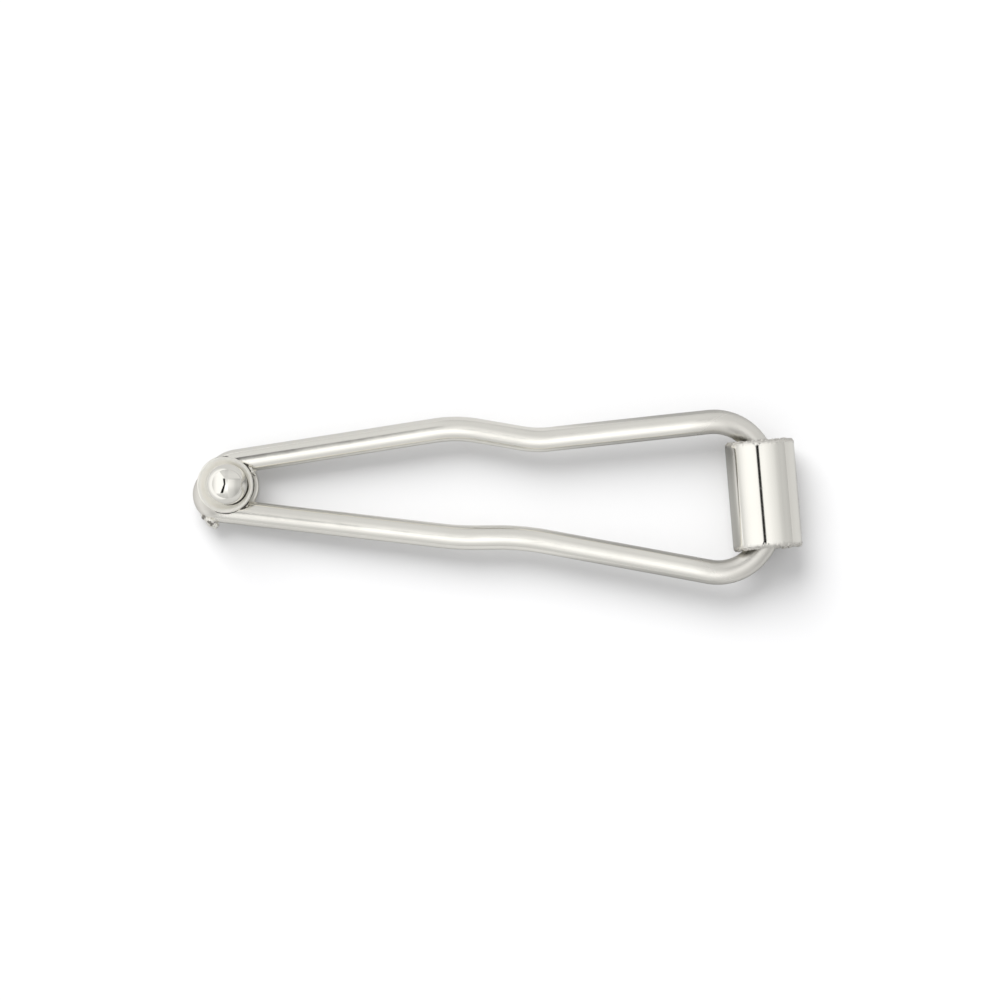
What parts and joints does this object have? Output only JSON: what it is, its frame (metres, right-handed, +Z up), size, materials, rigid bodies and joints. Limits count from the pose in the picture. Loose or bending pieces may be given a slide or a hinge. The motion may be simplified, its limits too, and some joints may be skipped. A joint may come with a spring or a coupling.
{
  "type": "money clip",
  "caption": "Waisted wire bail that turns on a short tubular barrel, with a ball-topped button holding the wire at its nose.",
  "frame": {"origin": "on the surface the clip lies on, under the middle of its box", "axes": "+X from the nose to the barrel, +Y across the two legs, +Z up, away from the surface"},
  "size_m": [0.05, 0.0144, 0.0062],
  "materials": {
    "polished_wire": "polished sterling silver",
    "polished_tube": "polished sterling silver, grained at the rims",
    "polished_ball": "bright polished sterling silver",
    "polished_washer": "tumbled sterling silver, slightly softer than the ball",
    "plain_silver": "unpolished sterling silver, as cut"
  },
  "bodies": {
    "barrel": {"hinge_barrel": "polished_tube", "pivot_bush": "plain_silver"},
    "bail": {"bail_wire": "polished_wire", "front_washer": "polished_washer", "back_washer": "polished_washer", "ball_post": "plain_silver", "nose_ball": "polished_ball"}
  },
  "joints": [
    {"name": "bail_pivot", "type": "hinge", "parent": "barrel", "child": "bail", "pos_m": [0.02173, 0.00025, 0.00282], "axis": [-0.1011, 0.9949, 0], "continuous": true}
  ]
}
